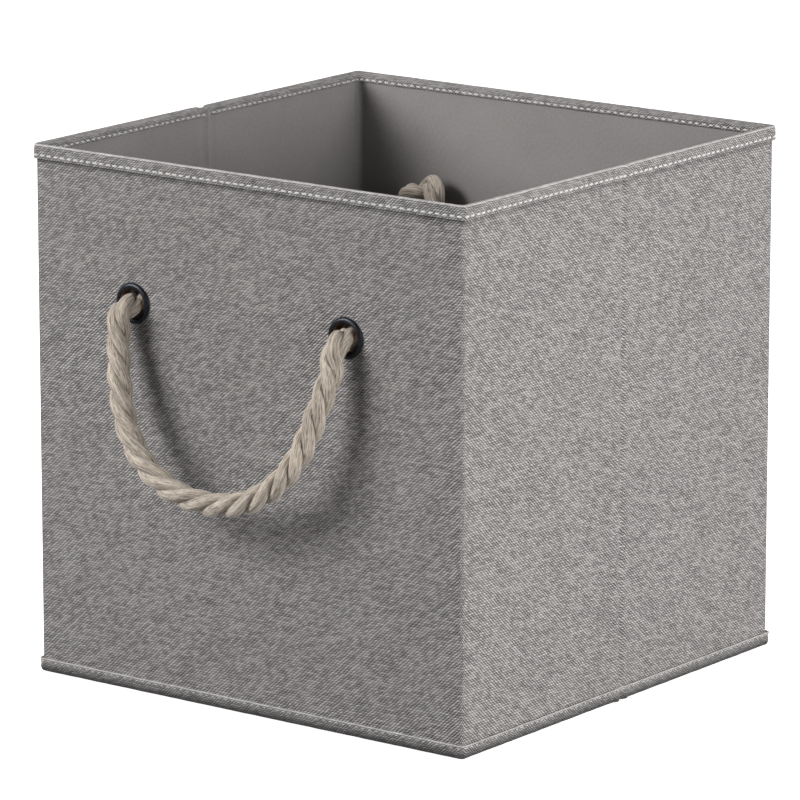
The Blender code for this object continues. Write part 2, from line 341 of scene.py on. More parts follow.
def rope_material():
    """Natural fibre: pale straw yarns that run with the rope, fine dark flecks, and
    yarns a little darker and lighter at random."""
    material, shader, nodes = new_material("natural_rope_fibre", Roughness=0.85,
                                           Sheen_Weight=0.25, Sheen_Roughness=0.5)
    round_it, along = nodes.parts(nodes.weave())[:2]
    turn = nodes.times(round_it, 2 * math.pi)
    x = nodes.times(nodes.calc("COSINE", turn), STRAND_RADIUS)
    y = nodes.times(nodes.calc("SINE", turn), STRAND_RADIUS)
    yarns, fibres, patches = (nodes.vector(x, y, nodes.times(along, drawn_out))
                              for drawn_out in (0.045, 0.10, 0.5))
    yarn = nodes.noise(yarns, 900.0, 1.0)
    fibre = nodes.noise(fibres, 2300.0, 3.0, 0.7)
    cloud = nodes.noise(patches, 220.0, 2.0)
    fleck = nodes.ramp(nodes.noise(fibres, 1900.0, 2.0, 0.6), 0.54, 0.64)
    base = nodes.mix(nodes.ramp(cloud, 0.3, 0.7), (0.240, 0.192, 0.147), (0.335, 0.282, 0.228))
    base = nodes.mix(nodes.ramp(fibre, 0.38, 0.62), base, (0.51, 0.450, 0.380))
    base = nodes.mix(nodes.times(fleck, 0.75), base, (0.085, 0.062, 0.044))
    shade = nodes.ramp(yarn, 0.35, 0.6, 0.74, 1.08)
    nodes.feed(shader.inputs["Base Color"], nodes.shaded(base, shade))
    raise_surface(nodes, shader, nodes.plus(nodes.times(yarn, 0.7), nodes.times(fibre, 0.4)),
                  0.0008)
    return material


NATURAL_ROPE = rope_material()


def add_handle(side, outward):
    """One handle: both legs of the loop from the same half, mirrored about its middle."""
    face = outward * WALL_FACE
    half = [(LEFT_HOLE + inward, face + outward * off, EYELET_LEVEL - drop)
            for inward, off, drop in HALF_LOOP]
    other = [(2 * HANDLE_MIDDLE - x, y, z) for x, y, z in half[-2::-1]]
    path = smooth_path(half + other, ROPE_STEP)
    ends = running_length(path)
    ends = np.minimum(ends, ends[-1] - ends)
    swell = np.sqrt(1 - (1 - np.clip(ends / 0.003, 0, 1)) ** 2)
    rope = add_piece(side + "_handle_rope_laid", strands(path, swell, 0.6, 3 + outward),
                     [NATURAL_ROPE])
    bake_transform(rope)
    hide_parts(side + "_handle_rope")


add_handle("front", -1)
add_handle("back", 1)

# ---- knots --------------------------------------------------------------------
# Each rope end comes in through its eyelet and is tied in an overhand knot that pulls
# up against the washer. A short end of rope sticks out of the knot.

KNOT_MIDDLE = 0.0183                                 # inwards from the cloth's face


def knot_path(mirror, tail, width=0.0042, turn=0.0, middle=(0.0, 0.0099)):
    """Sideways, up and inwards from the eyelet: three lobes (sin t + 2 sin 2t,
    cos t - 2 cos 2t, -sin 3t), turned in the wall's plane, cut at the lowest, with the
    tail before and the way out through the eyelet after."""
    t = np.linspace(math.pi + 0.45, 3 * math.pi - 0.45, 26)
    x, z = width * (np.sin(t) + 2 * np.sin(2 * t)), 0.0056 * (np.cos(t) - 2 * np.cos(2 * t))
    lobes = np.stack([middle[0] + x * math.cos(turn) + z * math.sin(turn),
                      middle[1] + z * math.cos(turn) - x * math.sin(turn),
                      KNOT_MIDDLE - 0.0052 * np.sin(3 * t)], -1)
    out = [(-0.0022, -0.0028, 0.0105), (-0.0002, -0.0014, 0.0070), (0, -0.0012, 0.0030),
           (0, -0.0012, -0.0010)]
    path = smooth_path(np.concatenate([np.array(tail), lobes, np.array(out)]), ROPE_STEP)
    return path * (mirror, 1, 1)


def add_knot(side, place, outward, hole, mirror, tail, body, **shape):
    """One knot, its strands opening a little at the free end."""
    local = knot_path(mirror, tail, **shape)
    path = np.stack([hole + local[:, 0], outward * (WALL_FACE - local[:, 2]),
                     EYELET_LEVEL + local[:, 1]], -1)
    s = running_length(path)
    swell = 1 + 0.10 * np.exp(-(s / 0.004) ** 2)
    swell *= np.sqrt(1 - (1 - np.clip((s + 0.0006) / 0.0022, 0, 1)) ** 2)
    swell *= np.sqrt(1 - (1 - np.clip((s[-1] - s) / 0.002, 0, 1)) ** 2)
    name = f"{side}_{place}_knot"
    knot = add_piece(name + "_tied", strands(path, swell, 1.1 * mirror, 11 + len(place)),
                     [NATURAL_ROPE])
    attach(knot, body)
    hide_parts(name)


SIDE_TAIL = [(-0.0225, 0.0085, 0.0235), (-0.0175, 0.0020, 0.0262), (-0.0105, -0.0050, 0.0275),
             (-0.0030, -0.0082, 0.0265), (0.0020, -0.0068, 0.0250)]
LOW_TAIL = [(-0.0120, -0.0235, 0.0200), (-0.0095, -0.0165, 0.0235), (-0.0050, -0.0110, 0.0262),
            (0.0005, -0.0080, 0.0258)]
add_knot("front", "left", -1, LEFT_HOLE, -1, SIDE_TAIL, "front_wall")
add_knot("front", "right", -1, RIGHT_HOLE, 1, LOW_TAIL, "front_wall")
add_knot("back", "left", 1, LEFT_HOLE, -1, SIDE_TAIL, "back_wall", width=0.0030, turn=0.42,
         middle=(0.0020, 0.0080))
add_knot("back", "right", 1, RIGHT_HOLE, -1, LOW_TAIL, "back_wall")

# ---- eyelets and washers ------------------------------------------------------
# Pressed steel eyelets, blackened outside, with a copper coloured bore. Each is set
# through the cloth, board and lining, and its barrel is rolled over a plain washer.

BORE, BARREL = 0.0077, 0.0084
FLANGE = (EYELET_HIGH.x - EYELET_LOW.x) / 2
BARREL_END = -0.0057
FLANGE_DOME = [(BARREL, 0.0002), (FLANGE - 0.0001, 0.0002), (FLANGE, 0.0005),
               (FLANGE - 0.0001, 0.0009), (FLANGE - 0.0005, 0.0014), (FLANGE - 0.0011, 0.0018),
               (FLANGE - 0.0017, 0.0019), (FLANGE - 0.0023, 0.0017), (BORE + 0.0003, 0.0013),
               (BORE + 0.0001, 0.0009)]
BORE_LINE = [(BORE + 0.0001, 0.0009), (BORE, 0.0004), (BORE, -0.0020), (BORE, BARREL_END),
             (BORE + 0.0003, BARREL_END - 0.0006), (BARREL + 0.0006, BARREL_END - 0.0006),
             (BARREL + 0.0007, BARREL_END), (BARREL, BARREL_END + 0.0002), (BARREL, 0.0002)]
WASHER_LINE = [(BARREL + 0.0002, 0.0003), (FLANGE, 0.0003), (FLANGE + 0.0001, 0.0008),
               (FLANGE - 0.0003, 0.0013), (FLANGE - 0.0010, 0.0015), (BARREL + 0.0009, 0.0014),
               (BARREL + 0.0002, 0.0011), (BARREL + 0.0002, 0.0003)]


def turned(outline, hole, face, outward, slot):
    """An outline of (radius, height) turned about the eyelet's axis: x and z go round as
    the cosine and sine, y is the height above the face."""
    outline = np.array(outline)
    angle = np.linspace(0, 2 * np.pi, 72, endpoint=False)
    radius, height = outline[:, 0, None], outline[:, 1, None]
    points = np.stack([hole + radius * np.cos(angle),
                       np.broadcast_to(face + outward * height, (len(outline), 72)),
                       EYELET_LEVEL + radius * np.sin(angle)], -1)
    along = running_length(np.pad(outline, ((0, 0), (0, 1))))
    return points, ring_weave(len(outline), 72, along), slot


def metal_material(name, colour, worn, roughness, metallic):
    """Plated steel: small dents and handling marks, brighter where it is rubbed."""
    material, shader, nodes = new_material(name, Metallic=metallic)
    marks = nodes.noise(nodes.place(), 900.0, 4.0, 0.65)
    rubbed = nodes.ramp(marks, 0.52, 0.72)
    nodes.feed(shader.inputs["Base Color"], nodes.mix(rubbed, colour, worn))
    nodes.feed(shader.inputs["Roughness"], nodes.ramp(marks, 0.3, 0.7, roughness - 0.07,
                                                      roughness + 0.12))
    raise_surface(nodes, shader, marks, 0.00005)
    return material


BLACKENED = metal_material("blackened_steel", (0.016, 0.019, 0.024), (0.045, 0.05, 0.06), 0.36,
                           0.75)
COPPER = metal_material("copper_plating", (0.42, 0.24, 0.13), (0.62, 0.40, 0.24), 0.30, 1.0)

LINING_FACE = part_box("front_lining")[1].y             # inner face of the front lining
for side, outward, body in (("front", -1, "front_wall"), ("back", 1, "back_wall")):
    for place, hole in (("left", LEFT_HOLE), ("right", RIGHT_HOLE)):
        name = f"{side}_{place}"
        eyelet = add_piece(name + "_eyelet_pressed",
                           [turned(FLANGE_DOME, hole, outward * WALL_FACE, outward, 0),
                            turned(BORE_LINE, hole, outward * WALL_FACE, outward, 1)],
                           [BLACKENED, COPPER])
        washer = add_piece(name + "_washer_pressed",
                           [turned(WASHER_LINE, hole, outward * abs(LINING_FACE), -outward, 0)],
                           [BLACKENED])
        for piece, node in ((eyelet, "_eyelet"), (washer, "_washer")):
            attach(piece, body)
            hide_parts(name + node)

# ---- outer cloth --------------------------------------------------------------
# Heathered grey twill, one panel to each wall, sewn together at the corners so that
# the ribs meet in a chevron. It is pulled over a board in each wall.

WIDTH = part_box("front_rim_binding")[1].x * 2
DEPTH = -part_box("front_rim_binding")[0].y * 2
HEIGHT = cad_high.z
CORNER = 0.0032                     # outer corner radius, over the bindings
INSIDE = 0.0022                     # corner radius inside, where the cloth bridges it
CORNER_RUN = 0.0060                 # straight cloth on each side of a corner's turn
COVER_DEPTH = DEPTH / 2 - WALL_FACE
COVER_THICK = 0.0009
CORNER_REACH = 0.014                # how far a corner's own cloth runs on to each wall
HALF_TURN = math.pi / 4 * CORNER
SEWN_LOW, SEWN_HIGH = 0.0018, HEIGHT - 0.0018
HOLES = {"front": (LEFT_HOLE, RIGHT_HOLE), "back": (-RIGHT_HOLE, -LEFT_HOLE)}
HALVES = {"front": WIDTH / 2, "right": DEPTH / 2, "back": WIDTH / 2, "left": DEPTH / 2}
REACHES = {"front": DEPTH / 2, "right": WIDTH / 2, "back": DEPTH / 2, "left": WIDTH / 2}
WALLS = ["front", "right", "back", "left"]


def wall_end(wall):
    """Where a wall's run ends, at the middle of its corner's turn."""
    return HALVES[wall] - CORNER + HALF_TURN


def on_wall(wall, t, depth, height):
    """Places on a wall: t runs to the right along it, seen from outside, from its
    middle; depth is in from the bindings' face. Past the flat part it turns half a
    corner: x = c + r sin a and y = c + r cos a, with a up to 45 degrees."""
    half, reach = HALVES[wall], REACHES[wall]
    t, depth, height = np.broadcast_arrays(t, depth, height)
    radius = np.where(depth < 0.0045, np.maximum(CORNER - depth, 0.0006), INSIDE)
    flat = half - CORNER - CORNER_RUN
    share = np.clip((np.abs(t) - flat) / (CORNER_RUN + HALF_TURN), 0, 1)
    turn_starts = CORNER_RUN / (CORNER_RUN + HALF_TURN)
    angle = np.clip((share - turn_starts) / (1 - turn_starts), 0, 1) * math.pi / 4
    centre = half - depth - radius
    straight = flat + np.clip(share / turn_starts, 0, 1) * (centre - flat)
    along = np.where(share > 0, straight + radius * np.sin(angle), np.abs(t)) * np.sign(t)
    out = reach - depth - radius + radius * np.cos(angle)
    x, y = {"front": (along, -out), "right": (out, along),
            "back": (-along, out), "left": (-out, -along)}[wall]
    return np.stack([x, y, height], -1)


def eased(value, low, high):
    """0 below low, 1 above high, 3 s^2 - 2 s^3 between."""
    share = np.clip((value - low) / (high - low), 0, 1)
    return share * share * (3 - 2 * share)


def slack(wall, t, height):
    """How far the cloth lies off its flat place: slow waves, a tenth or two of a
    millimetre, that die out at the hems, corners and eyelets, and on the side walls a
    shallow groove where they crease."""
    seed = WALLS.index(wall)
    waves = (0.00016 * np.sin(31 * t + 2.1 * height * 17 + seed * 1.7)
             + 0.00012 * np.sin(57 * t - 43 * height + seed * 2.9 + 1.0)
             + 0.00008 * np.sin(96 * t + 71 * height + seed * 0.8 + 2.0))
    calm = (eased(HALVES[wall] - np.abs(t), 0.008, 0.030) * eased(height, 0.008, 0.030)
            * eased(HEIGHT - height, 0.008, 0.030))
    for hole in HOLES.get(wall, ()):
        calm = calm * eased(np.hypot(t - hole, height - EYELET_LEVEL), 0.012, 0.030)
    groove = 0.0
    if wall in ("right", "left"):
        wander = 0.0005 * np.sin(height * 40 + seed)
        groove = 0.00080 * np.exp(-((t - wander) / 0.0014) ** 2) \
            - 0.00030 * np.exp(-((np.abs(t - wander) - 0.0040) / 0.0020) ** 2)
    return waves * calm + groove


def cloth_weave(wall, t, height):
    """UV in metres as the cloth was woven: the side panels' run the other way."""
    way = 1 if wall in ("front", "back") else -1
    t, height = np.broadcast_arrays(t, height)
    return np.stack([way * t + WALLS.index(wall) * 0.613, height], -1)


def stops(low, high, step):
    """Even stops from low to high, about a step apart."""
    return np.linspace(low, high, max(1, round((high - low) / step)) + 1)


def runs(wall, low, high):
    """Stops along a wall: 4 mm on the flat, closer at a corner's turn and a crease."""
    flat = HALVES[wall] - CORNER - CORNER_RUN
    creases = (-0.009, 0.009) if wall in ("right", "left") else ()
    marks = sorted({low, high, *(m for m in (-flat, flat, -flat - CORNER_RUN, flat + CORNER_RUN,
                                             *creases) if low < m < high)})
    parts = []
    for start, end in zip(marks, marks[1:]):
        middle = abs(start + end) / 2
        fine = 0.0006 if middle > flat + CORNER_RUN else 0.0015 if middle > flat else 0.004
        if creases and middle < 0.008:
            fine = 0.0009
        parts.append(stops(start, end, fine)[:-1])
    return np.concatenate(parts + [[high]])


def cloth_patches(wall, low, high, depth, faces_in):
    """A wall's cloth from low to high, as grids: rows up it, columns along it. Round an
    eyelet the grid becomes rings, from a circle out to a 28 mm square."""
    reach, bore = 0.014, 0.0092
    squares = [(h - reach, h + reach) for h in HOLES.get(wall, ()) if low < h < high]
    cuts = [low, *(c for pair in squares for c in pair), high]
    bands = [SEWN_LOW, EYELET_LEVEL - reach, EYELET_LEVEL + reach, SEWN_HIGH] if squares \
        else [SEWN_LOW, SEWN_HIGH]
    patches = []

    def put(t, height):
        points = on_wall(wall, t, depth + slack(wall, t, height), height)
        weave = cloth_weave(wall, t, height)
        if faces_in:
            points, weave = points[:, ::-1], weave[:, ::-1]
        patches.append((points, weave, 0))

    for left, right in zip(cuts, cuts[1:]):
        square = (left, right) in squares
        across = stops(left, right, 0.002) if square else runs(wall, left, right)
        for number, (bottom, top) in enumerate(zip(bands, bands[1:])):
            if square and number == 1:
                k, one = np.arange(14) / 14 * 2 - 1, np.ones(14)
                edge = np.concatenate([np.stack(pair, -1) for pair in
                                       ((k, -one), (one, k), (-k, one), (-one, -k))])
                edge = np.concatenate([edge, edge[:1]])[::-1] * reach
                circle = edge / np.linalg.norm(edge, axis=1)[:, None] * bore
                share = np.linspace(0, 1, 6)[:, None, None]
                ring = circle + (edge - circle) * share
                put((left + right) / 2 + ring[..., 0], EYELET_LEVEL + ring[..., 1])
            else:
                up = stops(bottom, top, 0.002 if number == 1 and squares else 0.0045)
                put(*np.meshgrid(across, up))
    return patches


def twill_group():
    """Twill: floats in rows, each row a step further right than the one below, so that
    they line up in ribs. A float is a rounded grain, |sin| along times |sin| across,
    leaning a little; each has its own brightness, as melange yarn does. Slubs are
    noise drawn out along either yarn."""
    tree = bpy.data.node_groups.new("twill_weave", "ShaderNodeTree")
    for name, kind in (("Weave", "Vector"), ("Repeat", "Float"), ("Row", "Float"),
                       ("Depth", "Float"), ("Heather", "Float")):
        tree.interface.new_socket(name, in_out="INPUT", socket_type="NodeSocket" + kind)
    for name in ("Shade", "Height"):
        tree.interface.new_socket(name, in_out="OUTPUT", socket_type="NodeSocketFloat")
    nodes = Nodes(tree)
    given = tree.nodes.new("NodeGroupInput").outputs
    result = tree.nodes.new("NodeGroupOutput")
    u, v = nodes.parts(given["Weave"])[:2]
    drift = nodes.noise(given["Weave"], 150.0, 2.0)
    drift_up = nodes.noise(nodes.vector(v, u, 0.3), 170.0, 2.0)
    drifted_u = nodes.plus(u, nodes.about(drift, 0.5, 0.0012))
    drifted_v = nodes.plus(v, nodes.about(drift_up, 0.5, 0.0010))
    rows = nodes.calc("DIVIDE", drifted_v, given["Row"])
    row = nodes.calc("FLOOR", rows)
    y = nodes.calc("SUBTRACT", rows, row)
    shift = nodes.times(nodes.times(row, given["Row"]), 1.10)
    across = nodes.calc("DIVIDE", nodes.calc("SUBTRACT", drifted_u, shift), given["Repeat"])
    x = nodes.plus(across, nodes.about(y, 0.5, -0.80))
    column = nodes.calc("FLOOR", x)
    own = nodes.add("TexWhiteNoise", {"noise_dimensions": "2D"},
                    Vector=nodes.vector(column, row, 0.0)).outputs[0]
    own = nodes.calc("SUBTRACT", own, 0.5)
    grain = nodes.times(nodes.calc("POWER", nodes.ridges(x, math.pi), 0.95),
                        nodes.calc("POWER", nodes.ridges(y, math.pi), 0.50))
    slub = nodes.noise(nodes.vector(nodes.times(u, 0.10), v, 0.0), 620.0, 2.0, 0.6)
    slub_up = nodes.noise(nodes.vector(u, nodes.times(v, 0.10), 5.0), 560.0, 2.0, 0.6)
    cloud = nodes.noise(given["Weave"], 34.0, 3.0, 0.6)
    fibre = nodes.noise(given["Weave"], 2100.0, 2.0, 0.6)
    shade = nodes.about(grain, 0.48, given["Depth"])
    shade = nodes.plus(shade, nodes.times(own, given["Heather"]))
    for value, amount in ((slub, 0.42), (slub_up, 0.30), (cloud, 0.16), (fibre, 0.50)):
        shade = nodes.plus(shade, nodes.about(value, 0.5, amount))
    nodes.feed(result.inputs["Shade"], nodes.plus(shade, 1.0))
    nodes.feed(result.inputs["Height"], nodes.plus(grain, nodes.times(own, 0.5)))
    return tree


TWILL_WEAVE = twill_group()


def cloth_material(name, colour, repeat, row, depth, heather, relief, painted_shade_edge=None):
    """A cloth in the twill weave, with the fine nap that lightens it at a glance. The
    painted shade edge, (from, to, least), is painted shade along a band: darkest at from."""
    material, shader, nodes = new_material(name, Roughness=0.92, Sheen_Weight=0.12,
                                           Sheen_Roughness=0.6, Specular_IOR_Level=0.25)
    weave = nodes.weave()
    twill = material.node_tree.nodes.new("ShaderNodeGroup")
    twill.node_tree = TWILL_WEAVE
    for key, value in (("Weave", weave), ("Repeat", repeat), ("Row", row), ("Depth", depth),
                       ("Heather", heather)):
        nodes.feed(twill.inputs[key], value)
    dark = tuple(channel * 0.95 for channel in colour)
    tone = nodes.mix(nodes.ramp(nodes.noise(weave, 55.0, 3.0), 0.3, 0.7), dark, colour)
    shade = twill.outputs["Shade"]
    # Painted shade: darkest at from, fading out by to, along the weave's height.
    if painted_shade_edge:
        start, end, least = painted_shade_edge
        height = nodes.parts(weave)[1]
        if start > end:
            height, start, end = nodes.times(height, -1.0), -start, -end
        shade = nodes.times(shade, nodes.ramp(height, start, end, least, 1.0))
    nodes.feed(shader.inputs["Base Color"], nodes.shaded(tone, shade))
    raise_surface(nodes, shader, twill.outputs["Height"], relief)
    return material


# Painted shadow under the rim's hem: the cloth darkens from 7.8 mm below the top, fading out by 11
# mm.
TWILL = cloth_material("grey_melange_twill", (0.246, 0.232, 0.227), 0.0021, 0.00132, 1.5, 0.75,
                       0.0006, (HEIGHT - 0.0078, HEIGHT - 0.0110, 0.45))


def thicken(piece, thickness):
    """Gives a cloth its thickness behind its shown face."""
    wall = piece.modifiers.new("thickness", "SOLIDIFY")
    wall.thickness = thickness
    wall.offset = -1.0


FRONT_END, SIDE_END = WIDTH / 2 - CORNER_REACH, DEPTH / 2 - CORNER_REACH
STRETCHES = [
    ("front", [("front", -FRONT_END, FRONT_END)], ["front_wall"]),
    ("near_right_corner", [("front", FRONT_END, wall_end("front")),
                           ("right", -wall_end("right"), -SIDE_END)],
     ["front_wall", "right_front_panel"]),
    ("right", [("right", -SIDE_END, SIDE_END)], ["right_front_panel", "right_rear_panel"]),
    ("far_right_corner", [("right", SIDE_END, wall_end("right")),
                          ("back", -wall_end("back"), -FRONT_END)],
     ["right_rear_panel", "back_wall"]),
    ("back", [("back", -FRONT_END, wall_end("back"))], ["back_wall"]),
    ("left", [("left", -wall_end("left"), SIDE_END)], ["left_rear_panel", "left_front_panel"]),
    ("near_left_corner", [("left", SIDE_END, wall_end("left")),
                          ("front", -wall_end("front"), -FRONT_END)],
     ["left_front_panel", "front_wall"]),
]


def hang(piece, stretches, bodies):
    """A piece on one wall rides with it; one that passes a corner or a crease stays
    where it is."""
    if len(bodies) == 1:
        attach(piece, bodies[0])
        return
    if len(stretches) == 2:
        (first, _, _), (second, _, _) = stretches
        start = on_wall(first, HALVES[first] - 0.0105, COVER_DEPTH, 0.0)
        end = on_wall(second, 0.0105 - HALVES[second], COVER_DEPTH, 0.0)
    else:
        start = on_wall(stretches[0][0], -0.006, COVER_DEPTH, 0.0)
        end = on_wall(stretches[0][0], 0.006, COVER_DEPTH, 0.0)
    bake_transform(piece)


COVER_NODES = {"front": ["front"], "right": ["right_front", "right_rear"], "back": ["back"],
               "left": ["left_rear", "left_front"]}


def add_wall_cloths(layer, depth, thickness, material, faces_in, node):
    """The seven cloths of one layer. A corner's cloth is the strip that turns it."""
    for name, stretches, bodies in STRETCHES:
        patches = [patch for wall, low, high in stretches
                   for patch in cloth_patches(wall, low, high, depth, faces_in)]
        piece = add_piece(f"{name}_{layer}", patches, [material], closed=False)
        thicken(piece, thickness)
        hang(piece, stretches, bodies)
        run = sum(running_length(on_wall(wall, runs(wall, low, high), depth, 0.0))[-1]
                  for wall, low, high in stretches)
        if name in COVER_NODES:
            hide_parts(*(f"{panel}_{node}" for panel in COVER_NODES[name]))


add_wall_cloths("outer_cloth", COVER_DEPTH, COVER_THICK, TWILL, False, "cover")

# ---- lining -------------------------------------------------------------------
# A plain, finely woven grey cloth that covers the boards inside, sewn in with the
# bindings at the top and the bottom.

LINING_DEPTH = DEPTH / 2 - abs(LINING_FACE)
LINING_THICK = 0.0007


def lining_material():
    """Fine plain weave: both yarns as |sin| ridges 0.6 mm apart, over slow clouds."""
    material, shader, nodes = new_material("grey_plain_lining", Roughness=0.95,
                                           Sheen_Weight=0.08, Specular_IOR_Level=0.2)
    weave = nodes.weave()
    threads = nodes.times(*(nodes.ridges(part, math.pi / 0.0006)
                            for part in nodes.parts(weave)[:2]))
    fleck = nodes.noise(weave, 700.0, 3.0, 0.6)
    cloud = nodes.noise(weave, 20.0, 3.0, 0.6)
    shade = nodes.plus(nodes.ramp(threads, 0.0, 1.0, 0.88, 1.06),
                       nodes.ramp(fleck, 0.3, 0.7, -0.07, 0.07))
    shade = nodes.times(shade, nodes.ramp(cloud, 0.3, 0.7, 0.95, 1.04))
    colour = nodes.mix(cloud, (0.243, 0.231, 0.227), (0.254, 0.241, 0.236))
    nodes.feed(shader.inputs["Base Color"], nodes.shaded(colour, shade))
    raise_surface(nodes, shader, threads, 0.00012)
    return material


PLAIN_LINING = lining_material()
add_wall_cloths("inner_lining", LINING_DEPTH, LINING_THICK, PLAIN_LINING, True,
                "lining")

# ---- boards -------------------------------------------------------------------
# Grey board sewn in between cloth and lining stiffens every wall panel. It is pressed
# from waste paper, with fibres and specks all through.


def board_material():
    """Pressed grey board: paper fibres drawn out one way, and dark specks."""
    material, shader, nodes = new_material("grey_board", Roughness=0.9)
    place = nodes.place()
    fibre = nodes.noise(nodes.add("Mapping", {"vector_type": "POINT"}, Vector=place,
                                  Scale=(1.0, 1.0, 0.2)).outputs[0], 900.0, 4.0, 0.6)
    speck = nodes.ramp(nodes.noise(place, 1600.0, 2.0), 0.66, 0.72)
    colour = nodes.mix(fibre, (0.26, 0.24, 0.205), (0.36, 0.335, 0.29))
    nodes.feed(shader.inputs["Base Color"], nodes.mix(nodes.times(speck, 0.6), colour,
                                                      (0.10, 0.09, 0.08)))
    raise_surface(nodes, shader, fibre, 0.0001)
    return material


GREY_BOARD = board_material()
for panel in ("front", "back", "right_rear", "right_front", "left_rear", "left_front"):
    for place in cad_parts[panel + "_board"].material_slots:
        place.material = GREY_BOARD

# ---- bindings -----------------------------------------------------------------
# The rim is a strip of the same twill folded over the wall's top edge, and the base a
# strip folded round its bottom edge. Both have their raw edge turned in, and both are
# sewn right through the wall.

RIM_LINE = [(1.25, -6.3), (1.28, -7.1), (1.00, -7.62), (0.50, -7.72), (0.05, -7.50),
            (-0.12, -7.00), (-0.10, -6.50), (0.06, -6.05), (0.16, -5.65), (0.08, -5.2),
            (-0.02, -4.6), (0.00, -3.6), (0.06, -2.6), (0.14, -1.7), (0.24, -0.95),
            (0.42, -0.40), (0.80, -0.08), (1.35, -0.04), (2.6, -0.30), (4.0, -0.70),
            (5.1, -1.05), (5.75, -1.45), (6.02, -1.95), (6.12, -2.6), (6.14, -3.3),
            (6.06, -3.6), (6.14, -3.95), (6.26, -4.4), (6.25, -4.80), (6.08, -5.02),
            (5.84, -5.02), (5.72, -4.7)]
BASE_LINE = [(5.55, 0.0), (3.4, 0.0), (2.1, 0.04), (1.35, 0.20), (0.75, 0.60), (0.35, 1.15),
             (0.12, 1.9), (0.02, 2.8), (0.04, 3.4), (0.13, 3.95), (0.16, 4.35),
             (0.10, 4.8), (0.04, 5.4), (0.02, 5.95), (-0.02, 6.25), (-0.22, 6.48),
             (-0.34, 6.82), (-0.22, 7.16), (0.12, 7.34), (0.60, 7.24), (1.05, 6.9),
             (1.20, 6.3)]


def round_off(line):
    """A smooth (depth, height) line through the given millimetres, in metres."""
    return smooth_path([(d / 1000, h / 1000, 0) for d, h in line], 0.00035)[:, :2]


STRIP_THICK = 0.00042
RIM_OUTLINE = round_off(RIM_LINE) + (0, HEIGHT)
BASE_OUTLINE = round_off(BASE_LINE)


def ruck(wall, t, height):
    """Where a binding is pinched: (depth, height) to add. It wavers a little all along;
    where a side wall creases, the rim dips and the base pushes out two small folds."""
    seed = WALLS.index(wall)
    wave = (0.00007 * np.sin(210 * t + seed) + 0.00006 * np.sin(388 * t + 2 * seed + height * 90)
            + 0.00005 * np.sin(655 * t + 3 * seed))
    deeper, higher = wave, 0 * t
    if wall in ("right", "left"):
        crease = np.exp(-(t / 0.0020) ** 2)
        if height > HEIGHT / 2:
            deeper = deeper + 0.00110 * crease
            higher = higher - 0.00080 * np.exp(-((t - 0.001) / 0.003) ** 2)
        else:
            folds = (np.exp(-((t + 0.0036) / 0.0017) ** 2)
                     + 0.8 * np.exp(-((t - 0.0038) / 0.0019) ** 2))
            deeper = deeper + 0.00070 * crease - 0.0016 * folds * np.clip(1 - height / 0.005, 0, 1)
    return deeper, higher


def carried(wall, low, high, outline, folds):
    """An outline of (depth, height) carried along a wall, rows following the outline. On
    its folds, between two lengths along it, it takes material 1: a painted highlight."""
    fine = np.unique(np.concatenate([runs(wall, low, high), stops(low, high, 0.0022)]))
    rows, weaves = [], []
    length = running_length(np.pad(outline, ((0, 0), (0, 1))))
    for (depth, height), v in zip(outline, length):
        deeper, higher = ruck(wall, fine, height)
        if depth > 0.004:
            deeper = -0.6 * deeper
        rows.append(on_wall(wall, fine, depth + deeper, np.maximum(height + higher, 0.0)))
        weaves.append(cloth_weave(wall, fine, v))
    # Rows on a fold span get material 1, the painted highlight.
    cuts = sorted({0, len(length) - 1, *(int(np.argmin(abs(length - end)))
                                         for fold in folds for end in fold)})
    return [(np.stack(rows[start:stop + 1]), np.stack(weaves[start:stop + 1]),
             int(any(first <= length[(start + stop) // 2] <= last for first, last in folds)))
            for start, stop in zip(cuts, cuts[1:])]


BINDING = cloth_material("grey_twill_binding", (0.236, 0.224, 0.218), 0.0018, 0.00110, 1.6, 0.80,
                         0.00055)
# The base binding's twill is a touch darker, and painted shade darkens it towards the bottom: all
# of its underside and its outer face up to about 5 mm.
SHADED_BASE_BINDING = cloth_material("painted_shade_base_binding_twill", (0.228, 0.216, 0.211), 0.0018, 0.00110,
                              1.6, 0.80, 0.00055, (0.0062, 0.0098, 0.25))
# Painted highlight: a pale copy of the binding twill for the rolled top edges of the rim and of the
# base binding, where they catch the light.
PAINTED_HIGHLIGHT_FOLD = cloth_material("painted_highlight_twill", (0.44, 0.422, 0.413), 0.0018, 0.00110, 0.5, 0.35,
                           0.00040)


def thread_material():
    """Pale polyester thread: two plies twisted, as slanting |sin| ridges round a stitch."""
    material, shader, nodes = new_material("pale_thread", Roughness=0.7, Sheen_Weight=0.2)
    weave = nodes.weave()
    round_it, along = nodes.parts(weave)[:2]
    ply = nodes.ridges(nodes.plus(round_it, nodes.calc("DIVIDE", along, 0.0011)), 2 * math.pi)
    worn = nodes.noise(weave, 800.0, 2.0)
    colour = nodes.mix(worn, (0.58, 0.57, 0.56), (0.74, 0.73, 0.72))
    nodes.feed(shader.inputs["Base Color"], nodes.shaded(colour, nodes.ramp(ply, 0, 1, 0.78, 1.04)))
    raise_surface(nodes, shader, ply, 0.0001)
    return material


THREAD = thread_material()


